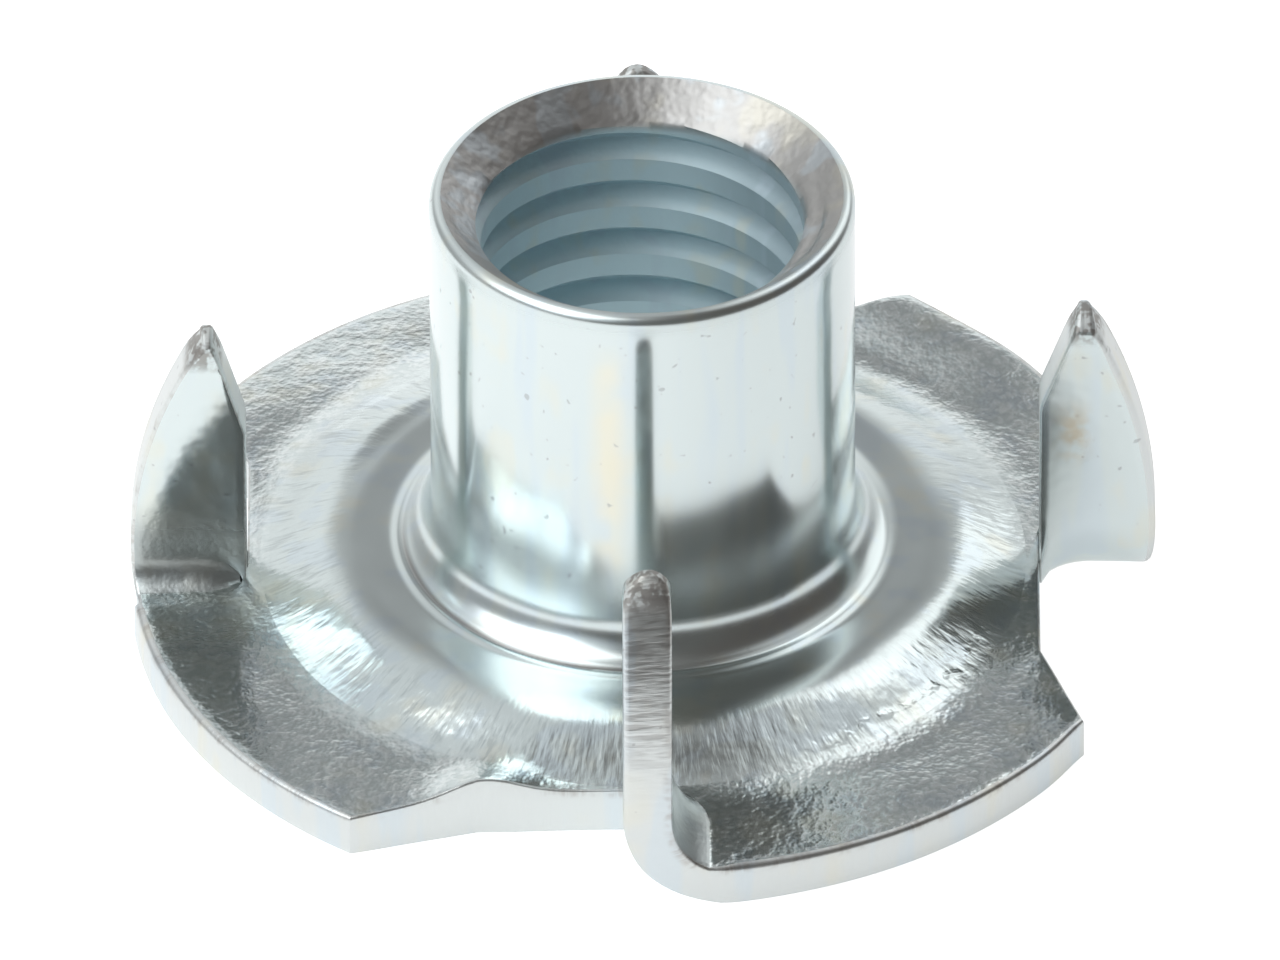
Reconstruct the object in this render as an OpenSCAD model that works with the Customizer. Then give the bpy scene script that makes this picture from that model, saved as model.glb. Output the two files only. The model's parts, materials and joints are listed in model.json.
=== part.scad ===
// Pronged tee nut. A round flange and a threaded barrel are drawn from one piece of sheet steel.
// Four prongs are sheared from the flange's rim and folded up beside the barrel, so each prong
// leaves a notch of its own outline in the flange.
// Frame: +Z runs along the barrel to its mouth. The origin is on the barrel's axis, in the plane
// of the flange's flat underside. Each prong is drawn at angle 0, with X outwards from the axis.

/* [Thread] */
// Nominal diameter of the metric thread
thread_d = 8; // [6:0.5:9]
// Pitch of the thread
thread_pitch = 1.25; // [0.8:0.05:1.5]

/* [Barrel] */
// Height of the nut, from the flange's underside to the barrel's mouth
nut_h = 10.8; // [9:0.2:16]
// Wall of the barrel, outwards from the crests of the thread
barrel_wall = 1.1; // [0.9:0.05:1.5]
// Depth of the cone that leads a bolt into the mouth
mouth_depth = 0.55; // [0.3:0.05:1]
// Radius of the barrel's outer top edge
lip_r = 0.25; // [0.1:0.05:0.4]

/* [Flange] */
// Diameter of the flange
flange_d = 22; // [20:0.5:28]
// Thickness of the sheet
sheet_t = 1.05; // [0.8:0.05:1.3]
// Inside radius of the bend from the flange into the barrel
root_r = 1; // [0.6:0.1:1.4]
// Height of the raised seat around the barrel above the rim
seat_rise = 0.85; // [0.4:0.05:1.2]
// Width of the level part of the seat, outwards from the root bend
seat_w = 1.05; // [0.8:0.05:1.4]
// Width of the slope from the seat down to the rim
slope_w = 2.3; // [1.8:0.1:2.8]
// Inside radius of the bends at both ends of the slope
slope_bend_r = 1; // [0.5:0.1:1.5]
// Radius of the rim's rolled top edge
rim_r = 0.2; // [0.1:0.05:0.4]

/* [Prongs] */
// Number of prongs
prong_count = 4; // [3:1:4]
// Height of the prong tips above the flange's underside
prong_h = 7.35; // [6.5:0.05:9]
// Width of a prong, from the rim inwards to the straight inner edge
prong_w = 2.5; // [2:0.1:3]
// Inside radius of the fold
fold_r = 1.25; // [0.8:0.05:1.5]
// How far the face over the notch lies past the radial centre line
prong_offset = 0.45; // [0:0.05:0.8]
// Length of the slanted inner edge below the tip, measured upwards
tip_taper_h = 2.2; // [1.5:0.05:3]
// Radius of the tip
tip_r = 0.2; // [0.1:0.05:0.35]
// Radius of the web left in the notch where the shear cut ends
web_r = 1.2; // [0.6:0.1:1.5]

/* [Hidden] */
$fn = 96;
zinc = [0.74, 0.77, 0.78];
// cuts run this far past the solid that they cut
past = 1;
// the section's arcs are drawn in steps of at most this angle
arc_step = 6;
// share of the sheet's thickness, from the inside of a fold, at which its length stays the same
neutral = 0.33;
// how far the formed thread's crests stand in from its nominal diameter, in pitches
crest_share = 0.44;

flange_r = flange_d / 2;
bore_r = thread_d / 2 - crest_share * thread_pitch;
barrel_r = bore_r + barrel_wall;

// the drawn flange, from the barrel outwards; z values are of the sheet's lower face
slope_a = atan(seat_rise / slope_w);
slope_tangent = slope_bend_r * tan(slope_a / 2);
root_out_r = root_r + sheet_t;
seat_in = barrel_r + root_r;
slope_top = seat_in + seat_w;
slope_foot = slope_top + slope_w;
root_z = seat_rise + root_out_r;
// centres of the bend at the slope's foot (above the sheet) and at its top (below the sheet)
foot_c = [slope_foot + slope_tangent, sheet_t + slope_bend_r];
head_c = [
    slope_top - (slope_bend_r + sheet_t) * tan(slope_a / 2),
    seat_rise - slope_bend_r
];

// the fold, seen along the prong from the rim: y across the prong, z up
fold_out_r = fold_r + sheet_t;
fold_y = fold_out_r - prong_offset;
fold_len = (fold_r + neutral * sheet_t) * PI / 2;
// the rim's curve goes on round the fold, so it stands on edge about this height
edge_z = fold_y - fold_len + fold_out_r;

// the prong's flat outline: x outwards, z up
inner_x = flange_r - prong_w;
shoulder = [inner_x, prong_h - tip_taper_h];
tip_z = prong_h - tip_r;
tip_c = [sqrt(pow(flange_r - tip_r, 2) - pow(tip_z - edge_z, 2)), tip_z];
tip_gap = norm(tip_c - shoulder);
taper_a = atan2(tip_c.y - shoulder.y, tip_c.x - shoulder.x) + asin(tip_r / tip_gap);
taper_dir = [cos(taper_a), sin(taper_a)];
taper_end = shoulder + sqrt(tip_gap * tip_gap - tip_r * tip_r) * taper_dir;
rim_touch = [0, edge_z] + flange_r * (tip_c - [0, edge_z]) / (flange_r - tip_r);

// points along an arc of radius r about c, from angle a to angle b
function arc(c, r, a, b) =
    let (steps = ceil(abs(b - a) / arc_step))
    [for (i = [0 : steps]) c + r * [cos(a + (b - a) * i / steps), sin(a + (b - a) * i / steps)]];

// half of the drawn sheet's section, as x outwards and z up
section = concat(
    // the rim, up to its rolled top edge
    [[flange_r, 0]],
    arc([flange_r - rim_r, sheet_t - rim_r], rim_r, 0, 90),
    // the upper face: up the slope, over the seat and round the root bend
    arc(foot_c, slope_bend_r, 270, 270 - slope_a),
    arc(head_c, slope_bend_r + sheet_t, 90 - slope_a, 90),
    arc([seat_in, root_z], root_r, 270, 180),
    // the barrel's rounded lip, its mouth cone and its bore
    arc([barrel_r - lip_r, nut_h - lip_r], lip_r, 0, 90),
    [[bore_r, nut_h - mouth_depth]],
    // the lower face, back to the rim
    arc([bore_r + root_out_r, root_z], root_out_r, 180, 270),
    arc(head_c, slope_bend_r, 90, 90 - slope_a),
    arc(foot_c, slope_bend_r + sheet_t, 270 - slope_a, 270)
);

// barrel and flange as drawn, before the prongs are sheared
module drawn_cup() {
    rotate_extrude()
        polygon(section);
}

// what a prong leaves open in the flange: its own outline laid flat, with a web at the cut's end
module notch() {
    far = flange_r + past;
    shoulder_y = edge_z - shoulder.y;
    translate([0, 0, -past])
        linear_extrude(nut_h)
            polygon(concat(
                [
                    [inner_x, shoulder_y],
                    [far, shoulder_y - (far - inner_x) * tan(taper_a)],
                    [far, fold_y]
                ],
                arc([inner_x + web_r, fold_y - web_r], web_r, 90, 180)
            ));
}

// the flat of the prong, seen from its notch: straight inner edge, slanted edge and round tip
module prong_outline() {
    intersection() {
        translate([0, edge_z])
            circle(flange_r);
        polygon([
            [inner_x, fold_out_r],
            [flange_r + past, fold_out_r],
            [flange_r + past, rim_touch.y],
            rim_touch,
            tip_c,
            taper_end,
            shoulder
        ]);
    }
    translate(tip_c)
        circle(tip_r);
}

// one prong, standing on the fold that joins it to the flange
module prong() {
    translate([0, sheet_t - prong_offset, 0])
        rotate([90, 0, 0])
            linear_extrude(sheet_t)
                prong_outline();
    intersection() {
        translate([inner_x, fold_y, fold_out_r])
            rotate([90, 0, 90])
                linear_extrude(prong_w)
                    difference() {
                        translate([-fold_out_r, -fold_out_r])
                            square(fold_out_r);
                        circle(fold_r);
                    }
        translate([0, fold_y, fold_out_r])
            rotate([0, 90, 0])
                cylinder(r = fold_out_r, h = flange_r);
        cylinder(r = flange_r, h = nut_h);
        translate([0, fold_y, edge_z])
            rotate([90, 0, 0])
                cylinder(r = flange_r, h = 2 * fold_out_r);
    }
}

module tee_nut() {
    color(zinc) {
        difference() {
            drawn_cup();
            for (i = [0 : prong_count - 1])
                rotate(i * 360 / prong_count)
                    notch();
        }
        for (i = [0 : prong_count - 1])
            rotate(i * 360 / prong_count)
                prong();
    }
}

tee_nut();
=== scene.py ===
# %% [markdown]
# # A pronged tee nut in zinc-plated steel
# A tee nut gives wood a metal thread. It is one piece of sheet: a press draws the flange and the
# barrel, a tap cuts the thread, and four prongs are sheared from the rim and folded up to bite
# into the wood. This lesson builds that sheet as one closed mesh over its CAD solid, gives it its
# plating, and lights it on a white table.
#
# All shapes are worked out in millimetres and turned into metres when a mesh is made.

# %% Load the frame
import functools
import json
import math

import bmesh
import bpy
import numpy as np
from mathutils import Euler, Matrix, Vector


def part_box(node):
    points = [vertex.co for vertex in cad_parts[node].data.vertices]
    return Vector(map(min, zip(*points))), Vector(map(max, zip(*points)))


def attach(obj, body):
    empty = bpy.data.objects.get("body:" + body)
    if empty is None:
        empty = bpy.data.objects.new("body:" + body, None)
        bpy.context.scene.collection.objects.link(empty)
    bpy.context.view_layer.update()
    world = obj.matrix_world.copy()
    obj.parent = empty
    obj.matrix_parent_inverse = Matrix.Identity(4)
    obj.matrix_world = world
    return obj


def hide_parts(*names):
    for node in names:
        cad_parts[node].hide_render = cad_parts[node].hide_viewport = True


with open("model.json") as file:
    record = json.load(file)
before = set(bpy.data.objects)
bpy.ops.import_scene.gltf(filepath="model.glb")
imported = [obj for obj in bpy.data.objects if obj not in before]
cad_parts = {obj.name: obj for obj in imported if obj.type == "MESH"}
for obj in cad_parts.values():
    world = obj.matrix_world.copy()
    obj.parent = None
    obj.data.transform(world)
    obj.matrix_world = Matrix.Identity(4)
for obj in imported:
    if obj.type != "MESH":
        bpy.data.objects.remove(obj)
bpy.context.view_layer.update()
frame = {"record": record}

# %% [markdown]
# ## Sizes
# The flange's radius and the nut's height come from the solid's box, and the bore and barrel from
# its mounts. The press tool's own sizes, such as bends and widths, are repeated here by name.

# %% Driving sizes
MM = 0.001
skin = 0.005  # the looks stay this far inside the solid's box, all round
mounts = {m["name"]: m for m in frame["record"]["mounts"]}
top_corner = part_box("tee_nut")[1]
flange_r = top_corner.x / MM - skin
nut_h = top_corner.z / MM - skin
bore_r = mounts["thread"]["dims"]["r_mm"]
barrel_r = mounts["barrel"]["dims"]["r_mm"]

# the sheet, and the barrel's mouth
sheet_t = 1.05
lip_r = 0.25
mouth_depth = 0.66
# the flange outwards from the barrel: root bend, raised seat, and a slope with a bend at each end
root_r = 1.0
seat_rise = 0.85
seat_w = 1.05
slope_w = 1.75
head_bend_r = 1.0
foot_bend_r = 3.0

# what follows from them: centres are (outwards, up)
seat_in = barrel_r + root_r
root_out_r = root_r + sheet_t
root_z = seat_rise + root_out_r
slope_a = math.degrees(math.atan(seat_rise / slope_w))
slope_half_tan = math.tan(math.radians(slope_a / 2))
slope_top = seat_in + seat_w
foot_c = (slope_top + slope_w + foot_bend_r * slope_half_tan, sheet_t + foot_bend_r)
head_c = (slope_top - (head_bend_r + sheet_t) * slope_half_tan, seat_rise - head_bend_r)
print(f"flange {2 * flange_r:.2f} mm, height {nut_h:.2f} mm, bore {2 * bore_r:.2f} mm")

# %% [markdown]
# ## The drawn section
# Cut through the middle, the sheet is a line of constant thickness: a level rim, a slope, a raised
# seat and the root bend that turns it up into the barrel. Each face of the flange becomes a curve
# of height against radius, so any point of the flange can look up its own height.


# %% Section curves
def arc(centre, radius, start, end, steps=12):
    """Points along an arc, as (outwards, up). The angles are in degrees."""
    a = np.radians(np.linspace(start, end, steps + 1))
    return np.column_stack([centre[0] + radius * np.cos(a), centre[1] + radius * np.sin(a)])


upper = np.vstack([
    arc(head_c, head_bend_r + sheet_t, 90, 90 - slope_a),
    arc(foot_c, foot_bend_r, 270 - slope_a, 270),
])
lower = np.vstack([
    arc(head_c, head_bend_r, 90, 90 - slope_a),
    arc(foot_c, foot_bend_r + sheet_t, 270 - slope_a, 270),
])
barrel_rows = 9
outside = np.vstack([
    arc((seat_in, root_z), root_r, 270, 180, 26),
    np.column_stack([
        np.full(barrel_rows, barrel_r),
        np.linspace(root_z, nut_h - lip_r, barrel_rows + 2)[1:-1],
    ]),
    arc((barrel_r - lip_r, nut_h - lip_r), lip_r, 0, 90, 6),
])
funnel = arc((bore_r + root_out_r, root_z), root_out_r, 180, 270, 14)
print(len(outside), "points up the barrel,", len(funnel), "round the funnel")

# %% [markdown]
# ## Four prongs, no two quite alike
# The shear and the fold never leave four equal prongs. Each prong has its own line of sizes, in a
# frame of its own: x outwards, y along the rim towards the side it is folded from, z up. The notch
# it leaves lies on its -y side, with a straight edge, a slanted edge and a web under the fold.

# %% Prong sizes
usual = {
    "notch_x": 8.5,  # the notch's straight edge, and the prong's inner edge above it
    "kink_y": -3.51,  # where the straight edge meets the slanted one
    "corner_y": -5.8,  # where the slanted edge meets the rim
    "face_y": -0.45,  # the blade's face over the notch
    "fold_r": 1.25,  # the fold's inside radius
    "web_r": 1.2,  # the round web at the end of the cut
    "shoulder_z": 5.15,  # where the blade starts to narrow
    "tip_z": 7.35,
    "tip_w": 0.36,
    "tip_drop": 0.1,  # how much lower the tip is on the notch's side
    "lean": 0.0,  # how far the blade leans, for each millimetre up
    "edge_up": 0.0,  # how much higher the outer edge's curve sits
    "roll": (0.16, 0.22),  # how far the shear rolled the rim over, from the fold to the next notch
}
prongs = [
    {**usual, "turn": 0, "kink_y": -3.2, "corner_y": -5.7, "face_y": -0.05, "fold_r": 1.15,
     "tip_z": 7.62, "tip_w": 0.24, "tip_drop": 0.3},
    {**usual, "turn": 90, "notch_x": 8.45, "tip_z": 7.66},
    {**usual, "turn": 180, "fold_r": 0.7, "shoulder_z": 5.1, "tip_z": 7.72, "tip_w": 0.24,
     "lean": 0.06, "edge_up": 0.45, "roll": (0.12, 0.2)},
    {**usual, "turn": 270, "notch_x": 8.29, "kink_y": -3.54, "corner_y": -6.27, "tip_z": 7.62,
     "roll": (0.12, 0.14)},
]
print(len(prongs), "prongs, folded at", [p["fold_r"] for p in prongs], "mm radius")


def fold_start(p, x):
    """How far along the rim the fold begins, at distance x from the barrel's axis."""
    fold_y = p["face_y"] + p["fold_r"] + sheet_t
    inwards = np.clip(p["notch_x"] + p["web_r"] - x, 0, p["web_r"])
    return fold_y - p["web_r"] + np.sqrt(p["web_r"] ** 2 - inwards ** 2)


def turned(points, degrees):
    """Points turned about the barrel's axis."""
    a = math.radians(degrees)
    points = np.asarray(points, float)
    x = points[..., 0] * math.cos(a) - points[..., 1] * math.sin(a)
    y = points[..., 0] * math.sin(a) + points[..., 1] * math.cos(a)
    return np.stack([x, y] + [points[..., i] for i in range(2, points.shape[-1])], axis=-1)


# %% [markdown]
# ## Columns that run through every part
# The mesh is a net of rings and columns. The barrel's columns are evenly spaced. Out on the flange
# they shift a little, so that a column ends exactly at each notch's corner and at each fold's web.

# %% Columns
sector_cols = 52
notch_cols = 28
quarter_cols = sector_cols + notch_cols
columns = 4 * quarter_cols
web_at = usual["notch_x"]
first_angle = math.degrees(math.atan2(fold_start(usual, web_at), web_at))
ring_angles = first_angle + np.arange(columns + 1) * 360 / columns


def polar(points):
    """The angles in degrees, and the radii."""
    x, y = points[..., 0], points[..., 1]
    return np.degrees(np.arctan2(y, x)), np.hypot(x, y)


def from_polar(angle, radius):
    """Plan points from angles in degrees and radii."""
    a = np.radians(angle)
    return np.stack([radius * np.cos(a), radius * np.sin(a)], axis=-1)


def web_corner(p):
    """Where the notch's straight edge runs into the fold's web."""
    return turned([p["notch_x"], fold_start(p, p["notch_x"])], p["turn"])


def kink(p):
    """Where the notch's straight edge meets its slanted edge."""
    return turned([p["notch_x"], p["kink_y"]], p["turn"])


def sector_edge(p, q):
    """Where the level flange meets prong p's strip of rim, from p's web to next prong q's notch."""
    a, r = polar(np.array([web_corner(p), kink(q)]))
    if a[1] < a[0]:
        a[1] += 360
    t = np.linspace(0, 1, sector_cols + 1)
    return from_polar(a[0] + (a[1] - a[0]) * t, r[0] + (r[1] - r[0]) * t)


def notch_edge(q):
    """The straight edge of q's notch, from its kink to its web."""
    t = np.linspace(0, 1, notch_cols + 1)[:, None]
    return kink(q) * (1 - t) + web_corner(q) * t


edge = np.vstack([
    part[:-1]
    for k in range(4)
    for part in (sector_edge(prongs[k], prongs[(k + 1) % 4]), notch_edge(prongs[(k + 1) % 4]))
] + [web_corner(prongs[0])[None]])
print(len(edge), "points round the flange's inner net")

# %% [markdown]
# ## The level rim
# Outside the net, each prong owns one strip of sheet. It starts at the next notch's slanted edge,
# follows the rim, rolls up round the fold and ends at the prong's tip. The strip is a grid too:
# lines across it, from its inner to its outer edge, each with a point on both faces of the sheet.
# The level part comes first.

# %% Level strip
across = np.linspace(0, 1, 13)
web_fade = 10  # lines of the strip over which the web's bend dies away


def on_sheet(plan, curve):
    """Plan points lifted onto a face of the drawn sheet."""
    z = np.interp(np.hypot(plan[..., 0], plan[..., 1]), curve[:, 0], curve[:, 1])
    return np.concatenate([plan, z[..., None]], axis=-1)


def sector_lines(p, q, inner):
    """The strip's level part, from the fold's start to the slanted edge of q's notch."""
    fold_y = p["face_y"] + p["fold_r"] + sheet_t
    start = p["turn"] + math.degrees(math.asin(fold_y / flange_r))
    end = p["turn"] + 90 + math.degrees(math.asin(q["corner_y"] / flange_r))
    t = np.linspace(0, 1, len(inner))
    outer = from_polar(start + (end - start) * t, flange_r)
    plan = inner[:, None] * (1 - across[None, :, None]) + outer[:, None] * across[None, :, None]
    # the first lines bend to follow the web, and the bend dies away round the rim
    local = turned(plan[0], -p["turn"])
    follow = np.stack([local[:, 0], fold_start(p, local[:, 0])], axis=-1)
    fade = np.clip(1 - np.arange(len(inner)) / web_fade, 0, 1)[:, None, None] ** 2
    plan = plan + fade * turned(follow - local, p["turn"])[None]
    return on_sheet(plan, lower), on_sheet(plan, upper)


print(len(across), "points in each line across a strip")

# %% [markdown]
# ## Folds and prongs
# At the end of its level part each strip rolls up round the fold. The fold's inside doesn't run out
# smoothly: the punch leaves a crease where it pressed last. Above the fold the prong is flat. Its
# outer edge is still the rim's own curve, and its inner edge slants in to the tip.

# %% Fold and blade
fold_steps = 16
crease_step = 5
crease_angle = 25.0
crease_share = 0.36  # share of the inside bend that the punch presses flat
crease_ease = 1.25
blade_rows = 26
tip_rows = 6
tip_r = 0.2
tip_sweep = 64
neutral = 0.33  # where in the sheet, from the fold's inside, its length stays the same


def rim_x(z_edge, z):
    """How far out the rim's curve is at height z, once it stands on edge about height z_edge."""
    return np.sqrt(flange_r ** 2 - (z - z_edge) ** 2)


def fold_and_blade(p):
    """Both faces of the fold and of the blade, in the prong's own frame."""
    fold_y = p["face_y"] + p["fold_r"] + sheet_t
    out_r = fold_y - p["face_y"]
    edge_z = fold_y - (p["fold_r"] + neutral * sheet_t) * math.pi / 2 + out_r + p["edge_up"]
    faces = [], []
    last = math.radians(crease_angle)
    for step in range(fold_steps + 1):
        theta = math.radians(90 * step / fold_steps)
        y_end = fold_y - out_r * math.sin(theta)
        z_end = out_r * (1 - math.cos(theta))
        x_out = min(math.sqrt(flange_r ** 2 - y_end ** 2), rim_x(edge_z, z_end))
        x = p["notch_x"] + (x_out - p["notch_x"]) * across
        start = fold_start(p, x)
        outer = start - p["face_y"]
        level = np.stack([x, start], axis=-1)
        flat = on_sheet(level, upper)[:, 2]
        under = on_sheet(level, lower)[:, 2] * math.cos(theta) ** 2
        faces[0].append(np.stack([x, start - outer * math.sin(theta),
                                  outer * (1 - math.cos(theta)) + under], axis=-1))
        bend = (outer - sheet_t) / (1 - math.sin(last)) * (1 - crease_share)
        crease_y = p["face_y"] + sheet_t + bend * (1 - math.sin(last))
        if step <= crease_step:
            y = start + (crease_y - start) * step / crease_step
            z = flat
        else:
            rest = (step - crease_step) / (fold_steps - crease_step)
            phi = last + (math.pi / 2 - last) * rest ** crease_ease
            y = p["face_y"] + sheet_t + bend * (1 - math.sin(phi))
            z = flat + bend * (math.cos(last) - math.cos(phi))
        faces[1].append(np.stack([x, y, z], axis=-1))
    high = p["tip_z"] - tip_r
    slant = (rim_x(edge_z, high) - p["tip_w"] - p["notch_x"]) / (high - p["shoulder_z"])
    for face, drop, thick in ((faces[0], p["tip_drop"], 0), (faces[1], 0, sheet_t)):
        first = face[-1][:, 2]
        top = high - drop
        heights = np.concatenate([
            np.linspace(out_r, top, blade_rows + 1)[1:],
            top + tip_r * np.sin(np.radians(np.linspace(0, tip_sweep, tip_rows + 1)[1:])),
        ])
        for z in heights:
            x_out = rim_x(edge_z, min(z, top))
            x_in = p["notch_x"] + max(0, min(z, top) - p["shoulder_z"]) * slant
            if z > top:
                centre, half = (x_in + x_out) / 2, (x_out - x_in) / 2
                half *= math.sqrt(1 - ((z - top) / tip_r) ** 2)
                x_in, x_out = centre - half, centre + half
            x = x_in + (x_out - x_in) * across
            fade = max(0, 1 - (z - out_r) / (p["shoulder_z"] - out_r)) ** 2
            y = np.full_like(x, p["face_y"] + p["lean"] * (z - out_r) + thick)
            face.append(np.stack([x, y, z + (first - out_r) * fade], axis=-1))
    return tuple(turned(np.array(f), p["turn"]) for f in faces)


strips = []
for k, p in enumerate(prongs):
    inner = edge[k * quarter_cols:k * quarter_cols + sector_cols + 1]
    level = sector_lines(p, prongs[(k + 1) % 4], inner)
    rise = fold_and_blade(p)
    strips.append([np.concatenate([a[::-1], b[1:]]) for a, b in zip(level, rise)])
print(len(strips[0][0]), "lines in each strip")

# %% [markdown]
# ## One edge, all the way round
# The cut edge of the sheet is a single closed line: along the rim, up a prong, over its tip, down
# its inner edge, along the notch and out to the rim again. A shear rolls one corner of the cut over
# and leaves the other one crisp, so the cut is swept along that line as a rounded band.

# %% Edge loop
sharp = 0.05  # the crisp corner of the cut
cut_roll = 0.08  # the corners that nothing below says more about
blade_low_roll = 0.15
tip_round = 0.09
tip_depth = 0.34


def loop_parts(k):
    """The edge round prong k: rim and blade, tip, inner edge, notch and slanted edge."""
    p = prongs[k]
    near, far = strips[k], strips[k - 1]
    notch = [on_sheet(notch_edge(p)[::-1], curve) for curve in (lower, upper)]
    level = sector_cols + 1
    blade = len(near[0]) - level
    top_roll = np.concatenate([np.linspace(*p["roll"], level), np.full(blade, cut_roll)])
    low_roll = np.concatenate([np.full(level, cut_roll), np.full(blade, blade_low_roll)])
    for rolls in (top_roll, low_roll):
        rolls[-tip_rows - 3:] = tip_round
    # each stretch: its two lines of points, and how far its lower and upper corners are rolled
    spans = [
        ([s[:, -1] for s in near], low_roll, top_roll),
        ([s[-1, ::-1] for s in near], tip_round, tip_round),
        ([s[sector_cols:, 0][::-1] for s in near], sharp, sharp),
        (notch, sharp, sharp),
        ([s[0] for s in far], sharp, sharp),
    ]
    lines = [np.concatenate([s[0][side][:-1] for s in spans]) for side in (0, 1)]
    widths = [
        np.concatenate([np.broadcast_to(s[i], (len(s[0][0]),))[:-1] for s in spans]) for i in (1, 2)
    ]
    return lines + widths


order = (3, 2, 1, 0)
low_line, top_line, low_roll, top_roll = [
    np.concatenate(part) for part in zip(*[loop_parts(k) for k in order])
]
loop_length = len(low_line)
print(loop_length, "points round the edge")

# %% [markdown]
# ## Room for the rounded edge
# Both faces of the sheet are drawn back to make room for the band. At a corner the faces must move
# by the same width from both sides of it, as a picture frame's mitre does.

# %% Drawn-back edges
nearly_straight = 0.06


def unit(v):
    return v / np.maximum(np.linalg.norm(v, axis=-1, keepdims=True), 1e-9)


def softened(values, reach=2):
    """Values round the closed loop, each averaged with its neighbours."""
    kernel = np.hanning(2 * reach + 3)[1:-1]
    ends = np.concatenate([values[-reach:], values, values[:reach]])
    return np.convolve(ends, kernel / kernel.sum(), "valid")


def drawn_back(line, roll):
    """How far each edge point moves into its face, to make room for a band of width roll."""
    through = unit(top_line - low_line)
    ahead = np.roll(line, -1, axis=0) - line
    out_ahead = unit(np.cross(through + np.roll(through, -1, axis=0), ahead))
    out_behind = np.roll(out_ahead, 1, axis=0)
    roll_ahead = np.minimum(roll, np.roll(roll, -1))
    roll_behind = np.roll(roll_ahead, 1)
    c = np.sum(out_ahead * out_behind, axis=1)
    gap = np.maximum(1 - c ** 2, nearly_straight / 2)
    first = (roll_ahead - c * roll_behind) / gap
    second = (roll_behind - c * roll_ahead) / gap
    mitre = first[:, None] * out_ahead + second[:, None] * out_behind
    plain = unit(out_ahead + out_behind) * ((roll_ahead + roll_behind) / 2)[:, None]
    return np.where((1 - c ** 2 > nearly_straight)[:, None], mitre, plain)


low_roll = softened(low_roll)
top_roll = softened(top_roll)
low_back = drawn_back(low_line, low_roll)
top_back = drawn_back(top_line, top_roll)
# places in each prong's share of the loop
per_prong = loop_length // 4
tip_at = len(strips[0][0]) - 1
inner_at = tip_at + len(across) - 1
notch_at = inner_at + tip_at - sector_cols
slant_at = notch_at + notch_cols
for back in (low_back, top_back):
    for start in range(0, loop_length, per_prong):
        first, last = back[start + tip_at], back[start + inner_at]
        back[start + tip_at:start + inner_at + 1] = first + (last - first) * across[:, None]
rim_part = slice(0, 40)
outwards = np.sum(top_back[rim_part, :2] * unit(top_line[rim_part, :2]), axis=1)
print(f"the rim's edge is rolled over by {np.mean(outwards):.3f} mm")

# %% [markdown]
# ## Patches
# Every surface is a patch, a grid of points. Patches that meet share their border points, so they
# are simply laid side by side in one mesh and the doubled points are merged. Each face remembers
# what it is: the sheet's own skin, a cut, or the bore.

# %% Patch helper
SHEET, CUT, BORE = 0, 1, 2
net = bmesh.new()
kind_layer = net.faces.layers.int.new("kind")
uv_layer = net.loops.layers.uv.new("cut")


def add_patch(points, kind=SHEET, uv=None):
    """Adds a grid of points, in millimetres, as faces of one kind."""
    rows, cols = points.shape[:2]
    verts = [[net.verts.new(Vector(p) * MM) for p in row] for row in points]
    for i in range(rows - 1):
        for j in range(cols - 1):
            ring = ((i, j), (i, j + 1), (i + 1, j + 1), (i + 1, j))
            face = net.faces.new([verts[a][b] for a, b in ring])
            face[kind_layer] = kind
            if uv is not None:
                for loop, (a, b) in zip(face.loops, ring):
                    loop[uv_layer].uv = uv[a, b]


# %% [markdown]
# ## Flange, barrel and funnel
# The flange's inner net runs from the root bend out to the notches. The barrel's outside and the
# funnel under it are plain rings, because the press draws them round.

# %% Flange net and rings
flange_rows = 25
edge_angle, edge_radius = polar(edge)
edge_angle = ring_angles + (edge_angle - ring_angles + 180) % 360 - 180
u = np.linspace(0, 1, flange_rows + 1)[:, None]


def flange_net(inner_radius, curve, back):
    """One face of the flange, from a ring out to the strips and the drawn-back notch edges."""
    angle = ring_angles * (1 - u) + edge_angle * u
    points = on_sheet(from_polar(angle, inner_radius * (1 - u) + edge_radius * u), curve)
    for place, k in enumerate(order):
        first = ((k - 1) % 4) * quarter_cols + sector_cols
        notch = back[place * per_prong + notch_at:place * per_prong + slant_at + 1][::-1]
        points[-1, first:first + notch_cols + 1] -= notch
    points[-1, 0] = points[-1, -1]
    return points


def rings(profile):
    """A profile of (radius, height) points carried round the axis."""
    a = np.broadcast_to(ring_angles, (len(profile), columns + 1))
    plan = from_polar(a, profile[:, :1])
    height = np.broadcast_to(profile[:, 1:, None], plan.shape[:2] + (1,))
    return np.concatenate([plan, height], axis=-1)


add_patch(flange_net(seat_in, upper, top_back))
add_patch(flange_net(bore_r + root_out_r, lower, low_back)[::-1])
add_patch(rings(outside))
add_patch(rings(funnel[::-1]))
print(len(net.faces), "faces in the drawn part")

# %% [markdown]
# ## Laying in the strips and the cut edge
# Each line of a strip is squeezed a little, so that it ends where the rounded band begins. The
# band's own section is a quarter round, a straight cut and another quarter round. Its UV map runs
# along the edge and through the sheet, in millimetres, so that tool marks can follow the cut.


# %% Strips and band
def squeezed(points, back, place):
    """A strip's face drawn in from all its cut edges."""
    base = place * per_prong
    shift = across[None, :, None] * back[base:base + tip_at + 1][:, None]
    inside = np.zeros((tip_at + 1, 3))
    inside[sector_cols:] = back[base + inner_at:base + notch_at + 1][::-1]
    shift = shift + (1 - across)[None, :, None] * inside[:, None]
    shift[0] = back[np.arange(base - len(across) + 1, base + 1)]
    shift[-1] = back[base + tip_at:base + inner_at + 1][::-1]
    return points - shift


for place, k in enumerate(order):
    add_patch(squeezed(strips[k][0], low_back, place)[:, ::-1])
    add_patch(squeezed(strips[k][1], top_back, place))

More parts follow.
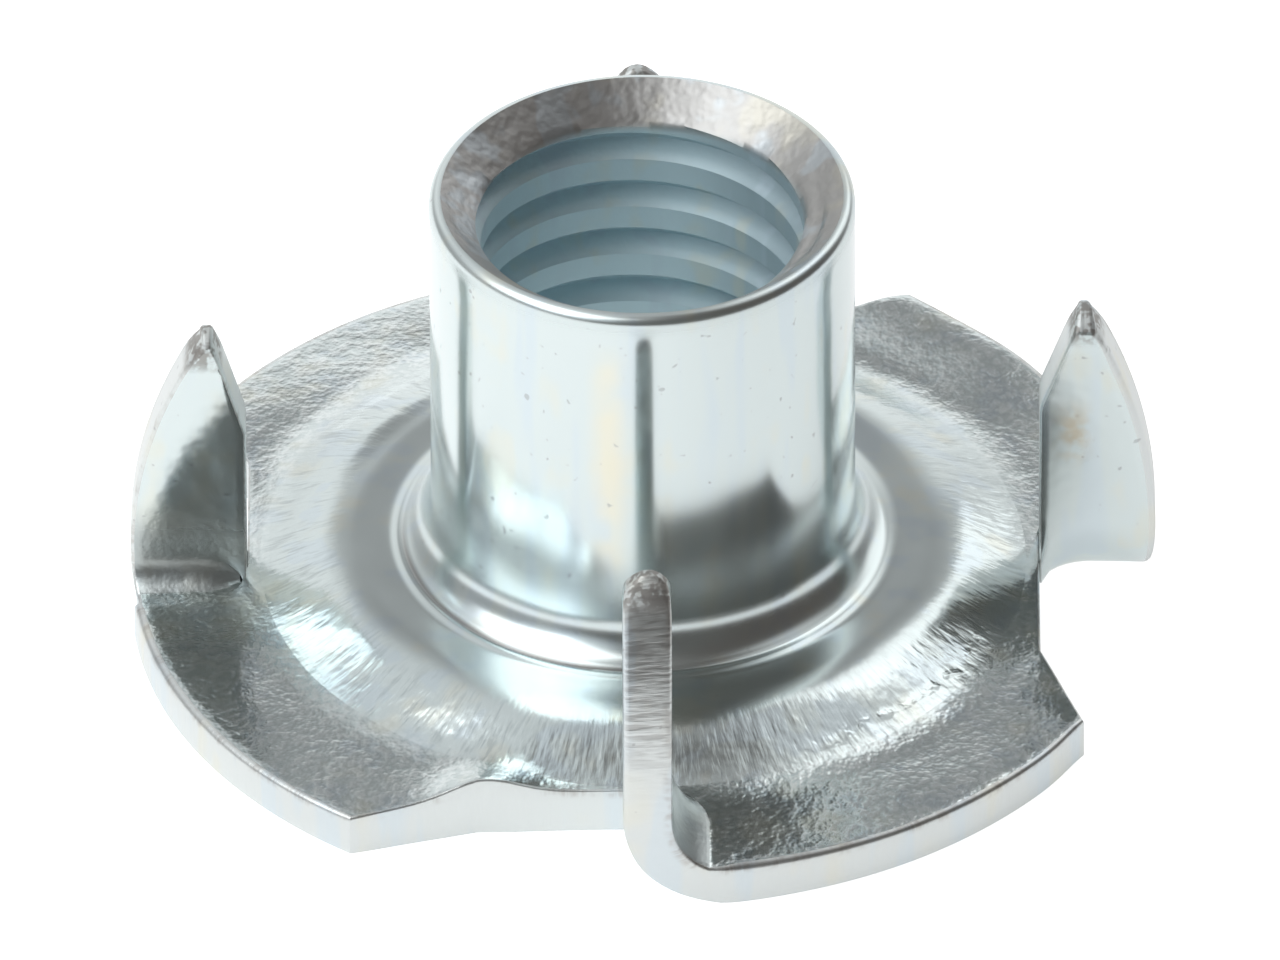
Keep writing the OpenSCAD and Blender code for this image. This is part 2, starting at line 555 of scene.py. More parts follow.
# at the tips the rolled corners reach deeper, so that the points come out round
near_tip = np.zeros(loop_length)
for base in range(0, loop_length, per_prong):
    near_tip[base + tip_at - tip_rows:base + inner_at + tip_rows + 1] = 1
near_tip = softened(near_tip, 4)
through = top_line - low_line
thickness = np.linalg.norm(through, axis=1)
through = through / thickness[:, None]
low_depth = low_roll * (1 - near_tip) + tip_depth * near_tip
top_depth = top_roll * (1 - near_tip) + tip_depth * near_tip
band = []
for a in np.radians([0, 30, 60, 90]):
    rise = through * (low_depth * (1 - math.cos(a)))[:, None]
    band.append(low_line - low_back * (1 - math.sin(a)) + rise)
for share in (1 / 3, 2 / 3):
    depth = low_depth + (thickness - low_depth - top_depth) * share
    band.append(low_line + (top_line - low_line) * (depth / thickness)[:, None])
for a in np.radians([90, 60, 30, 0]):
    fall = through * (top_depth * (1 - math.cos(a)))[:, None]
    band.append(top_line - top_back * (1 - math.sin(a)) - fall)
band = np.array(band)
band = np.concatenate([band, band[:, :1]], axis=1)
step = np.linalg.norm(np.diff(band[5], axis=0), axis=1)
along = np.concatenate([[0], np.cumsum(step)])
level = np.linalg.norm(band - band[:1], axis=2)
add_patch(band, CUT, np.stack(np.broadcast_arrays(along[None, :], level), axis=-1))
print(f"{len(net.faces)} faces with the strips and the cut edge, {along[-1]:.1f} mm of edge")

# %% [markdown]
# ## Helpers for nodes
# Every tree below is built from a few kinds of node. These helpers add one, link or fill its
# inputs, and give back its result, so that a line of nodes reads like a line of arithmetic.


# %% Node helpers
def add_node(tree, kind, *inputs, **settings):
    """Adds a node, sets its own settings, and links or fills its inputs in order."""
    made = tree.nodes.new(kind)
    for name, value in settings.items():
        setattr(made, name, value)
    for socket, value in zip([s for s in made.inputs if s.enabled], inputs):
        if isinstance(value, bpy.types.NodeSocket):
            tree.links.new(value, socket)
        elif value is not None:
            socket.default_value = value
    return made


def tree_of(values):
    """The node tree that the first socket among the values belongs to."""
    return next(v.id_data for v in values if isinstance(v, bpy.types.NodeSocket))


def calc(operation, *inputs):
    """The result of one Math node, in the tree of its inputs."""
    return add_node(tree_of(inputs), "ShaderNodeMath", *inputs, operation=operation).outputs[0]


def product(*values):
    return functools.reduce(lambda a, b: calc("MULTIPLY", a, b), values)


def total(*values):
    return functools.reduce(lambda a, b: calc("ADD", a, b), values)


def ramp(value, low, high):
    """0 at low, 1 at high, smooth between. Low may be the larger one."""
    made = add_node(value.id_data, "ShaderNodeMapRange", value, low, high, 0.0, 1.0,
                    interpolation_type="SMOOTHSTEP")
    return made.outputs[0]


def curve_node(points, value):
    """A Float Curve of straight stretches through the given points."""
    made = add_node(value.id_data, "ShaderNodeFloatCurve", 1.0, value)
    curve = made.mapping.curves[0]
    for x, y in points[1:-1]:
        curve.points.new(x, y)
    for point, place in zip(curve.points, points):
        point.location = place
        point.handle_type = "VECTOR"
    made.mapping.update()
    return made.outputs[0]


# %% [markdown]
# ## The thread
# A thread is a groove that climbs one pitch each turn. Geometry Nodes make it from a flat grid:
# one side of the grid goes round the bore, the other goes up it, and every row of points follows
# the helix, so crests and grooves stay clean lines. Rows past either end are squeezed onto the
# end rings and merge there. The mouth's cone cuts the crests, and the lowest turn runs out.

# %% Thread by Geometry Nodes
pitch = 1.25
turns = 9
groove_depth = 0.44
groove_angle, groove_z = 90, 9.59  # at this angle, the middle of a groove is this high
run_out_turns = 0.9  # the lowest groove comes to its full depth over this many turns
crest_soften = 0.06  # how softly the mouth's cone cuts the crests
# the section of one pitch: how far up it, and how deep as a share of the groove
thread_section = (
    (0.0, 1.0), (0.05, 1.0), (0.085, 0.905), (0.17, 0.483), (0.248, 0.095), (0.285, 0.0),
    (0.40, 0.0), (0.50, 0.0), (0.60, 0.0), (0.715, 0.0), (0.752, 0.095), (0.83, 0.483),
    (0.915, 0.905), (0.95, 1.0), (1.0, 1.0),
)
rows_a_pitch = len(thread_section) - 1


def thread_tree():
    """The bore's tree, and the identifiers of its named inputs."""
    tree = bpy.data.node_groups.new("threaded bore", "GeometryNodeTree")
    sockets = {}
    for kind, names in (
        ("Int", ("Columns", "Rows")),
        ("Float", ("Turns", "Pitch", "Shift", "Low", "High", "Crest Radius", "Depth",
                   "Mouth Radius", "Mouth Depth", "First Angle", "Run-out")),
        ("Material", ("Material",)),
    ):
        for name in names:
            sockets[name] = tree.interface.new_socket(
                name, in_out="INPUT", socket_type="NodeSocket" + kind).identifier
    tree.interface.new_socket("Geometry", in_out="OUTPUT", socket_type="NodeSocketGeometry")
    given = tree.nodes.new("NodeGroupInput").outputs
    grid = add_node(tree, "GeometryNodeMeshGrid", 1.0, 1.0, given["Columns"], given["Rows"])
    position = tree.nodes.new("GeometryNodeInputPosition").outputs[0]
    place = add_node(tree, "ShaderNodeSeparateXYZ", position)
    around = calc("ADD", place.outputs[0], 0.5)
    row = product(calc("ADD", place.outputs[1], 0.5), given["Turns"])
    row = calc("ADD", row, 0.0001)  # so that rounding never drops a row into the turn below
    even = [(i / rows_a_pitch, up) for i, (up, deep) in enumerate(thread_section)]
    part = curve_node(even, calc("FRACT", row))
    climb = total(calc("FLOOR", row), part)
    angle = total(product(around, 2 * math.pi), given["First Angle"])
    steps = calc("SUBTRACT", total(climb, around), 1.0)
    height = total(product(steps, given["Pitch"]), given["Low"])
    height = calc("SUBTRACT", height, given["Shift"])
    height = add_node(tree, "ShaderNodeClamp", height, given["Low"], given["High"]).outputs[0]
    groove = curve_node(thread_section, part)
    run_out = ramp(calc("SUBTRACT", height, given["Low"]), 0.0, given["Run-out"])
    thread = total(product(groove, run_out, given["Depth"]), given["Crest Radius"])
    # the cone that leads a bolt into the mouth is cut through thread and crests alike
    slope = calc("DIVIDE", calc("SUBTRACT", given["Mouth Radius"], given["Crest Radius"]),
                 given["Mouth Depth"])
    from_high = calc("SUBTRACT", given["High"], height)
    cone = calc("SUBTRACT", given["Mouth Radius"], product(from_high, slope))
    radius = calc("SMOOTH_MAX", thread, cone, crest_soften * MM)
    where = add_node(
        tree, "ShaderNodeCombineXYZ", product(radius, calc("COSINE", angle)),
        product(radius, calc("SINE", angle)), height)
    bent = add_node(tree, "GeometryNodeSetPosition", grid.outputs[0], True, where.outputs[0])
    merged = add_node(tree, "GeometryNodeMergeByDistance", bent.outputs[0], True, 0.0005 * MM)
    real = add_node(tree, "GeometryNodeRealizeInstances", merged.outputs[0])
    painted = add_node(tree, "GeometryNodeSetMaterial", real.outputs[0], True, given["Material"])
    tree.links.new(painted.outputs[0], tree.nodes.new("NodeGroupOutput").inputs[0])
    return tree, sockets


# %% [markdown]
# ## The bore
# The tree runs on an empty mesh, and what comes out is kept as a plain mesh of its own.


# %% Bore
def add_object(name, data):
    made = bpy.data.objects.new(name, data)
    bpy.context.scene.collection.objects.link(made)
    return made


def made_by(tree, sockets, values, name):
    """Runs a Geometry Nodes tree on an empty mesh and returns the plain mesh that comes out."""
    carrier = add_object(name, bpy.data.meshes.new(name))
    modifier = carrier.modifiers.new(name, "NODES")
    modifier.node_group = tree
    for key, value in values.items():
        modifier[sockets[key]] = value
    bpy.context.view_layer.update()
    graph = bpy.context.evaluated_depsgraph_get()
    result = bpy.data.meshes.new_from_object(carrier.evaluated_get(graph))
    bpy.data.objects.remove(carrier)
    return result


zinc = bpy.data.materials.new("zinc_plate")
zinc.use_nodes = True
start_height = root_z + (groove_angle - first_angle) / 360 * pitch
bore_mesh = made_by(*thread_tree(), {
    "Columns": columns + 1, "Rows": turns * rows_a_pitch + 1, "Turns": float(turns),
    "Pitch": pitch * MM, "Shift": (start_height - groove_z) % pitch * MM,
    "Low": root_z * MM, "High": nut_h * MM,
    "Crest Radius": bore_r * MM, "Depth": groove_depth * MM,
    "Mouth Radius": (barrel_r - lip_r) * MM, "Mouth Depth": mouth_depth * MM,
    "First Angle": math.radians(first_angle), "Run-out": run_out_turns * pitch * MM,
    "Material": zinc,
}, "bore")
drawn_faces = len(net.faces)
net.from_mesh(bore_mesh)
net.faces.ensure_lookup_table()
for face in net.faces[drawn_faces:]:
    face[kind_layer] = BORE
print(len(bore_mesh.polygons), "faces in the bore")

# %% [markdown]
# ## One closed shell
# Merging the doubled border points turns the patches into one watertight shell. A closed shell has
# exactly two faces at every edge, so the count below must be zero.

# %% Merge and close
bmesh.ops.remove_doubles(net, verts=net.verts, dist=0.0015 * MM)
bmesh.ops.dissolve_degenerate(net, edges=net.edges, dist=0.0005 * MM)
bmesh.ops.recalc_face_normals(net, faces=net.faces)
if net.calc_volume(signed=True) < 0:
    bmesh.ops.reverse_faces(net, faces=net.faces)
open_edges = [e for e in net.edges if len(e.link_faces) != 2]
print(f"{len(open_edges)} open edges, volume {net.calc_volume() / MM ** 3:.1f} mm3")

# %% [markdown]
# ## Knocks and burrs
# The press is rough on such a thin part. One corner of the flange is bent up, and the tool has
# dragged a burr up beside one notch. Each knock is a smooth push with a place, a height and a
# reach. A burr moves only the upper face, so the sheet grows there. The points are moved as one
# array, which is far quicker than one vertex at a time.

# %% Knocks
knocks = (
    # x, y, push up, reach, upper face only
    (5.2, 9.3, 0.44, 1.8, False),
    (7.9, 7.6, 0.26, 1.9, False),
    (-3.35, -8.45, 0.40, 1.0, True),
    (9.2, -5.9, 0.08, 0.7, False),
    (-8.2, -6.6, -0.04, 1.5, True),
)
nut_mesh = bpy.data.meshes.new("pressed_nut")
net.to_mesh(nut_mesh)
net.free()
place = np.empty(len(nut_mesh.vertices) * 3, dtype=np.float32)
nut_mesh.vertices.foreach_get("co", place)
place = place.reshape(-1, 3).astype(float) / MM
radius = np.hypot(place[:, 0], place[:, 1])
turn = np.arctan2(place[:, 1], place[:, 0])


def beyond(value, start, width):
    """0 up to start, 1 from start + width on, straight between."""
    return np.clip((value - start) / width, 0, 1)


def bell(distance, reach):
    return np.exp(-(distance / reach) ** 2)


def degrees_from(heading):
    """How far round the axis each point lies from a heading, from -180 to 180."""
    return (np.degrees(turn) - heading + 180) % 360 - 180


on_flange = beyond(radius, 5.9, 1.0) * beyond(-place[:, 2], -2.4, 0.6)
through_sheet = beyond(place[:, 2], 0, sheet_t)
lift = np.zeros(len(place))
for x, y, up, reach, burr in knocks:
    push = up * np.exp(-((place[:, 0] - x) ** 2 + (place[:, 1] - y) ** 2) / reach ** 2)
    lift += push * (through_sheet if burr else 1)
print(f"the corner is bent up by {lift.max():.2f} mm")

# %% [markdown]
# ## The pressed ring and the uneven rim
# Where the drawing ring pressed hardest, on the root bend, it leaves a fine groove with a bead
# beside it, deepest on the side that it met first. The rim falls a little outwards, one side of it
# stays lifted, and slow waves run round it, so no stretch is quite level.

# %% Ring and rim
ring_r, ring_depth = 5.17, 0.035
ring_heading, ring_spread = 240, 65  # the ring is pressed deepest at the front left
ring = 0.6 * bell(radius - ring_r - 0.13, 0.08) - bell(radius - ring_r, 0.055)
ring *= (place[:, 2] > seat_rise + sheet_t - 0.02) & (place[:, 2] < 2.4)
place[:, 2] += ring_depth * ring * (0.15 + 0.85 * bell(degrees_from(ring_heading), ring_spread))

rim_fall = 0.07
lift -= rim_fall * beyond(radius, 8.9, 2) ** 2 * through_sheet
back_left = bell(degrees_from(138), 34)
lift += back_left * (0.22 * beyond(radius, 6.4, 1.2) - 0.12 * beyond(radius, 8.2, 2.6))
lift += 0.012 * np.sin(7 * turn + 1.3 * radius) + 0.008 * np.sin(11 * turn - 2.1 * radius + 1)
lowest = 0.002
place[:, 2] = np.maximum(place[:, 2] + lift * on_flange, lowest)
print(f"a ring {ring_depth} mm deep at radius {ring_r} mm, and a rim that falls {rim_fall} mm")

# %% [markdown]
# ## Worn tips
# The nuts are tumbled against each other while they are plated, and the sharp tips take the
# knocks. Towards its tip each prong is squeezed thinner and its corners are drawn down, so the
# point comes out round.

# %% Worn tips
worn_length = 1.0
worn_squeeze = 0.22
worn_drop = 0.3
for p in prongs:
    angle = math.radians(p["turn"])
    x = place[:, 0] * math.cos(angle) + place[:, 1] * math.sin(angle)
    y = place[:, 1] * math.cos(angle) - place[:, 0] * math.sin(angle)
    middle = p["face_y"] + sheet_t / 2 + p["lean"] * (place[:, 2] - p["fold_r"] - sheet_t)
    worn = np.clip((place[:, 2] - p["tip_z"] + worn_length) / worn_length, 0, 1) ** 2
    worn[(x < 6) | (np.abs(y - middle) > sheet_t)] = 0
    off = (y - middle) * worn
    place[:, 2] -= worn_drop * worn * ((y - middle) / (sheet_t / 2)) ** 2
    place[:, 0] += worn_squeeze * off * math.sin(angle)
    place[:, 1] -= worn_squeeze * off * math.cos(angle)
    print(f"the tip at {p['turn']} degrees is {place[worn > 0, 2].max():.2f} mm high")
nut_mesh.vertices.foreach_set("co", (place * MM).astype(np.float32).ravel())
nut_mesh.update()

# %% [markdown]
# ## The finished piece
# Smooth shading hides the small faces, but a shear leaves real corners, so edges that turn more
# than the angle below stay sharp. The piece stands for the solid nut and moves with it.

# %% Finished piece
nut = add_object("pressed_nut", nut_mesh)
nut_mesh.materials.clear()
nut_mesh.materials.append(zinc)
for polygon in nut_mesh.polygons:
    polygon.use_smooth = True
    polygon.material_index = 0
nut_mesh.set_sharp_from_angle(angle=math.radians(35))
triangles = sum(len(f.vertices) - 2 for f in nut_mesh.polygons)
print(f"{len(nut_mesh.polygons)} faces, {triangles} triangles")

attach(nut, "root")
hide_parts("tee_nut")

# %% [markdown]
# ## Finish helpers
# A finish is built from a few effects that several places share: where a point lies on the nut,
# fine lines, mottling and tool marks. Each is a node group with named inputs and outputs, made
# once. The groups give out plain values, and the shader itself stays in the material.


# %% Finish helpers
def new_group(name, inputs, outputs):
    """A shader node group. Inputs are (name, default value); outputs are names of float sockets."""
    tree = bpy.data.node_groups.new(name, "ShaderNodeTree")
    for label, value in inputs:
        socket = tree.interface.new_socket(label, in_out="INPUT", socket_type="NodeSocketFloat")
        socket.default_value = value
    for label in outputs:
        tree.interface.new_socket(label, in_out="OUTPUT", socket_type="NodeSocketFloat")
    given = tree.nodes.new("NodeGroupInput").outputs
    return tree, given, tree.nodes.new("NodeGroupOutput").inputs


def use_group(tree, group, **values):
    """Puts a group into a tree with some of its inputs set, and returns its outputs."""
    made = tree.nodes.new("ShaderNodeGroup")
    made.node_tree = group
    for label, value in values.items():
        made.inputs[label.replace("_", " ")].default_value = value
    return made.outputs


def in_mm(tree):
    """The point's place on the nut, in millimetres."""
    where = tree.nodes.new("ShaderNodeTexCoord").outputs["Object"]
    scaled = add_node(tree, "ShaderNodeVectorMath", where, operation="SCALE")
    scaled.inputs["Scale"].default_value = 1 / MM
    return scaled.outputs[0]


def hump(value, centre, width):
    """1 at the centre, falling to 0 at width on either side."""
    return ramp(calc("ABSOLUTE", calc("SUBTRACT", value, centre)), width, 0.0)


def noise(where, scale, detail=2.0, rough=0.5):
    return add_node(where.id_data, "ShaderNodeTexNoise", where, scale, detail, rough).outputs[0]


def vector(x, y, z):
    return add_node(tree_of((x, y, z)), "ShaderNodeCombineXYZ", x, y, z).outputs[0]


# %% [markdown]
# ## Place on the nut
# A pressed part is round, so its finish changes with the distance from the axis and with the
# height. Every mask starts from this group: radius and height in millimetres, and how far east
# and north of the axis a point lies, from -1 to 1.

# %% Place on the nut
place_group, given, gives = new_group("place on the nut", (), ("Radius", "Height", "East", "North"))
x, y, z = add_node(place_group, "ShaderNodeSeparateXYZ", in_mm(place_group)).outputs
squares = total(product(x, x), product(y, y))
away = calc("SQRT", squares)
east = calc("DIVIDE", x, away)
north = calc("DIVIDE", y, away)
for socket, value in zip(gives, (away, z, east, north)):
    place_group.links.new(value, socket)
print("the place group gives", ", ".join(socket.name for socket in gives if socket.name))

# %% [markdown]
# ## Drawing lines
# When the press draws the slope, the steel slides towards the barrel and is scored by fine lines
# that all point at the axis. They are noise drawn out along the radius: many to a turn, and few to
# a millimetre outwards.

# %% Drawing lines
lines_group, given, gives = new_group(
    "drawing lines", (("Per Radian", 31.0), ("Per Millimetre", 0.5)), ("Lines",))
radius_out, height_out, east, north = use_group(lines_group, place_group)
spread = vector(
    product(east, given["Per Radian"]),
    product(north, given["Per Radian"]),
    product(radius_out, given["Per Millimetre"]))
lines_group.links.new(noise(spread, 1.0, 2.0, 0.6), gives[0])

# %% [markdown]
# ## Grain
# Rolled sheet has a faint grain, and flat dies crush it into a mottle. One group gives it in any
# size, from the fine grain of the rim to the slow waves of the whole sheet.

# %% Grain
grain_group, given, gives = new_group(
    "grain of the sheet", (("Size", 0.3), ("Detail", 3.0)), ("Grain",))
grain = add_node(grain_group, "ShaderNodeTexNoise", in_mm(grain_group),
                 calc("DIVIDE", 1.0, given["Size"]), given["Detail"], 0.55).outputs[0]
grain_group.links.new(grain, gives[0])

# %% [markdown]
# ## Tool marks on the cut
# A punch leaves fine lines through the sheet's thickness where it sheared, and a torn band where
# the steel broke at last. The marks follow the cut, so they use the cut edge's own coordinates:
# one runs along the edge, the other goes through the sheet.

# %% Tool marks on the cut
marks_group, given, gives = new_group("cut marks", (("Per Millimetre", 7.0),), ("Marks", "Through"))
cut_uv = marks_group.nodes.new("ShaderNodeUVMap")
cut_uv.uv_map = "cut"
run, deep = add_node(marks_group, "ShaderNodeSeparateXYZ", cut_uv.outputs[0]).outputs[:2]
cut_vector = vector(product(run, given["Per Millimetre"]), deep, 0.0)
marks_group.links.new(noise(cut_vector, 1.0, 2.0, 0.6), gives["Marks"])
marks_group.links.new(deep, gives["Through"])

# %% [markdown]
# ## Zinc
# Electroplated zinc is a thin bright coat with a passivated skin that tints it blue-green, with
# yellow clouds where the bath was stronger. It is a metal, so its colour is in its reflections:
# smooth on the barrel and the blades, broken up on the rim, scored on the slope. One material
# covers the whole nut, and masks made from the radius, the height and the kind of face tell it
# where each finish belongs.

# %% Zinc masks
tree = zinc.node_tree
radius_out, height_out, east, north = use_group(tree, place_group)
kind = add_node(tree, "ShaderNodeAttribute", attribute_name="kind").outputs["Fac"]
is_cut, in_bore, is_sheet = (
    calc("COMPARE", kind, float(wanted), 0.4) for wanted in (CUT, BORE, SHEET))
true_normal = tree.nodes.new("ShaderNodeNewGeometry").outputs["True Normal"]
normal_x, normal_y, facing_up = add_node(tree, "ShaderNodeSeparateXYZ", true_normal).outputs
low_down = product(ramp(height_out, 2.3, 1.9), ramp(facing_up, 0.75, 0.93))
on_cone = product(in_bore, ramp(height_out, 9.95, 10.2))
is_bore = calc("SUBTRACT", in_bore, on_cone)
slope_mask = product(is_sheet, low_down, ramp(radius_out, 6.3, 7.4), ramp(radius_out, 8.7, 7.8))
rim_mask = product(is_sheet, low_down, ramp(radius_out, 7.8, 8.6))
root_mask = product(is_sheet, ramp(radius_out, 7.2, 6.2), ramp(height_out, 5.6, 3.4))
barrel_mask = product(is_sheet, ramp(radius_out, 5.2, 4.7))
lip_mask = product(barrel_mask, ramp(height_out, 10.2, 10.5))
blade_mask = product(ramp(height_out, 1.9, 2.4), ramp(radius_out, 6.8, 7.6))
# the part of the normal that points round the rim, towards the next prong
round_the_rim = calc("SUBTRACT", product(normal_y, east), product(normal_x, north))
# the folds: rougher, with relief, and painted darker as shade
fold_and_painted_shade = product(
    is_sheet, ramp(height_out, 3.4, 2.0), ramp(facing_up, 0.97, 0.85),
    ramp(radius_out, 7.8, 8.4), ramp(total(facing_up, round_the_rim), -0.5, 0.5))
notch_side = product(is_sheet, blade_mask, ramp(round_the_rim, -0.3, -0.8))
tip_mask = product(ramp(height_out, 6.7, 7.1), ramp(radius_out, 7.5, 8.5))

# %% [markdown]
# ## Relief too fine to model
# What is deeper than a hair is in the mesh. The finer relief is a single height in millimetres:
# scoring on the slope, grain on the rim, marks on the cut, and slow waves that bend every
# reflection a little, as they do on any pressed sheet.

# %% Zinc surface
drawing = use_group(tree, lines_group, Per_Radian=24.0, Per_Millimetre=1.1)[0]
fine_drawing = use_group(tree, lines_group, Per_Radian=80.0, Per_Millimetre=1.6)[0]
grain_fine, grain_big, grain_mid, grain_broad = (
    use_group(tree, grain_group, Size=size, Detail=detail)[0]
    for size, detail in ((0.15, 1.0), (0.5, 2.0), (0.95, 2.0), (2.6, 1.0)))
marks, through = use_group(tree, marks_group, Per_Millimetre=7.0)
pressed = calc("MAXIMUM", rim_mask, slope_mask)
# a patch beside the right prong's notch, where the tool has rubbed
scuff_radius = total(radius_out, product(grain_mid, 0.9))
scuff = product(
    hump(scuff_radius, 8.3, 0.14), ramp(east, 0.35, 0.6),
    ramp(north, -0.25, -0.5), ramp(grain_big, 0.40, 0.52))
surface = total(*(product(*reliefs) for reliefs in (
    # where it is, what it is, and its height in millimetres
    (slope_mask, drawing, 0.022),
    (slope_mask, fine_drawing, 0.005),
    (rim_mask, grain_fine, 0.012),
    (pressed, grain_big, 0.013),
    (pressed, grain_mid, 0.030),
    (scuff, 0.010),
    (is_cut, marks, 0.012),
    (is_bore, grain_fine, 0.008),
    (on_cone, grain_big, 0.035),
    (grain_broad, 0.014),
    (tip_mask, grain_big, 0.03),
    (fold_and_painted_shade, grain_fine, 0.006),
    (fold_and_painted_shade, grain_big, 0.014),
    (blade_mask, grain_mid, 0.010),
)))
bump = add_node(tree, "ShaderNodeBump", 1.0, MM, None, surface)
print(f"{len(tree.nodes)} nodes in the zinc so far")

# %% [markdown]
# ## Clouds, painted shade and wear
# Clouds and runs of the passivated skin tint the zinc. A dark line of painted shade lies in the
# pressed
# ring at the barrel's root, the tips are rubbed grey, and one prong has a rusty stain. Each of
# these is a mask:
# 1 where it lies, 0 elsewhere, broken up by noise so that none has a clean outline. The bore's
# right side is painted darker too, as shade.


# %% Clouds, painted shade and wear
def streaks(tree, across, up):
    """Noise drawn out up the barrel: soft vertical runs, as wet plating leaves when it dries."""
    x, y, z = add_node(tree, "ShaderNodeSeparateXYZ", in_mm(tree)).outputs
    drawn_out = vector(product(x, 1 / across), product(y, 1 / across), product(z, 1 / up))
    return noise(drawn_out, 1.0)


def halves(a, b):
    """The mean of two values."""
    return total(product(a, 0.5), product(b, 0.5))


cloud = use_group(tree, grain_group, Size=1.7, Detail=2.0)[0]
runs = streaks(tree, 0.9, 7.0)
speck = use_group(tree, grain_group, Size=0.22, Detail=1.0)[0]
yellow_cloud = ramp(halves(cloud, runs), 0.53, 0.64)
blue_cloud = ramp(runs, 0.46, 0.36)
cream_run = product(
    hump(east, -0.16, 0.13), ramp(north, 0.0, -0.5), barrel_mask,
    ramp(height_out, 3.2, 4.6), ramp(height_out, 10.2, 9.2),
    ramp(cloud, 0.25, 0.55))
# painted shade: the bore's right side is painted darker
bore_right_painted_shade = product(is_bore, ramp(east, 0.15, 0.85))
# painted shade: a dark line in the pressed ring at the barrel's root, strongest at the front left
ring_painted_shade = product(
    hump(radius_out, 5.15, 0.10), ramp(height_out, 2.4, 2.2), is_sheet,
    ramp(north, 0.3, -0.3), ramp(east, 0.3, -0.1))
groove = product(slope_mask, ramp(halves(drawing, fine_drawing), 0.50, 0.38))
rim_grain = total(product(grain_fine, 0.6), product(grain_big, 0.4))
mottle = product(rim_mask, ramp(rim_grain, 0.42, 0.60))
dark_speck = product(ramp(speck, 0.70, 0.80), calc("MAXIMUM", barrel_mask, blade_mask))
torn = product(
    is_cut, ramp(through, 0.80, 0.98), ramp(grain_big, 0.42, 0.62),
    ramp(marks, 0.3, 0.6))
worn = product(tip_mask, ramp(total(grain_big, grain_fine), 0.86, 1.08))
# the front prong's cut is darker in its deeper marks, more so higher up
scored = product(
    is_cut, ramp(height_out, 3.0, 4.8), ramp(marks, 0.55, 0.40),
    ramp(north, -0.80, -0.93), ramp(through, 0.0, 0.25))
stain = product(
    notch_side, ramp(east, 0.8, 0.9), hump(height_out, 4.5, 1.1),
    hump(radius_out, 9.2, 0.6), ramp(grain_big, 0.35, 0.6))

print(len(tree.nodes), "nodes with the masks")

# %% [markdown]
# ## Colour and sheen
# The coats are laid over each other in order, each as strong as its mask says. Three of them are
# painted shade: the bore's right side, the pressed ring and the folds are painted darker. Rough
# places are the cut, the thread and the folds. The barrel and the blades stay the brightest.


# %% Zinc colour
def mixed(factor, a, b):
    """Colour a where the factor is 0, colour b where it is 1."""
    made = add_node(factor.id_data, "ShaderNodeMix", factor, data_type="RGBA")
    for socket, value in ((made.inputs[6], a), (made.inputs[7], b)):
        if isinstance(value, bpy.types.NodeSocket):
            factor.id_data.links.new(value, socket)
        else:
            socket.default_value = (*value, 1)
    return made.outputs[2]


colour = mixed(is_cut, (0.70, 0.775, 0.775), (0.72, 0.755, 0.75))
for mask, strength, paint in (
    (is_bore, 1.0, (0.69, 0.82, 0.86)),
    # painted shade on the bore's right side
    (bore_right_painted_shade, 0.9, (0.46, 0.56, 0.60)),
    (on_cone, 1.0, (0.51, 0.51, 0.50)),
    (blue_cloud, 0.45, (0.64, 0.735, 0.80)),
    (yellow_cloud, 0.3, (0.80, 0.765, 0.61)),
    (cream_run, 0.6, (0.86, 0.80, 0.62)),
    # painted shade: the dark line in the pressed ring
    (ring_painted_shade, 0.8, (0.20, 0.19, 0.18)),
    (groove, 0.45, (0.42, 0.47, 0.48)),
    (mottle, 0.5, (0.95, 1.0, 1.0)),
    (dark_speck, 0.5, (0.35, 0.36, 0.37)),
    (torn, 0.45, (0.40, 0.37, 0.34)),
    (worn, 0.75, (0.28, 0.26, 0.24)),
    (scored, 0.5, (0.28, 0.27, 0.26)),
    # painted shade: the folds are painted darker
    (fold_and_painted_shade, 0.65, (0.38, 0.41, 0.41)),
    (stain, 0.7, (0.62, 0.52, 0.36)),
):
    colour = mixed(product(mask, strength), colour, paint)
shader = tree.nodes["Principled BSDF"]
tree.links.new(colour, shader.inputs["Base Color"])
tree.links.new(bump.outputs[0], shader.inputs["Normal"])
base_roughness = 0.10
roughness = total(base_roughness, *(product(mask, more) for mask, more in (
    (rim_mask, 0.09), (slope_mask, 0.07), (root_mask, 0.10), (is_cut, 0.24), (is_bore, 0.56),
    (on_cone, 0.28), (lip_mask, 0.16), (fold_and_painted_shade, 0.22), (notch_side, 0.12), (tip_mask, 0.2),
    (runs, 0.06), (blade_mask, -0.03),
)))
tree.links.new(roughness, shader.inputs["Roughness"])
shader.inputs["Metallic"].default_value = 1.0
print(len(tree.nodes), "nodes in the zinc material")

# %% [markdown]
# ## A white table
# The table is plain white. It glows for whatever sees it, directly or in the plating, so that it
# comes out white there. In the plating the glow is painted light, stronger on the left of the nut
# than on its right, as lamp light from the left would fall. The rest of its brightness is lamp
# light, which the nut's shadow takes.

# %% Floor
floor_mesh = bpy.data.meshes.new("floor")
side = 0.6
below = 0.00002  # the table lies this far under the nut, so that the two never meet
corners = [(-side, -side, 0), (side, -side, 0), (side, side, 0), (-side, side, 0)]
floor_mesh.from_pydata(corners, [], [(0, 1, 2, 3)])
floor = add_object("floor", floor_mesh)
floor.location.z = -below
white = bpy.data.materials.new("white_table")
white.use_nodes = True
floor_mesh.materials.append(white)
glow_seen = 0.86
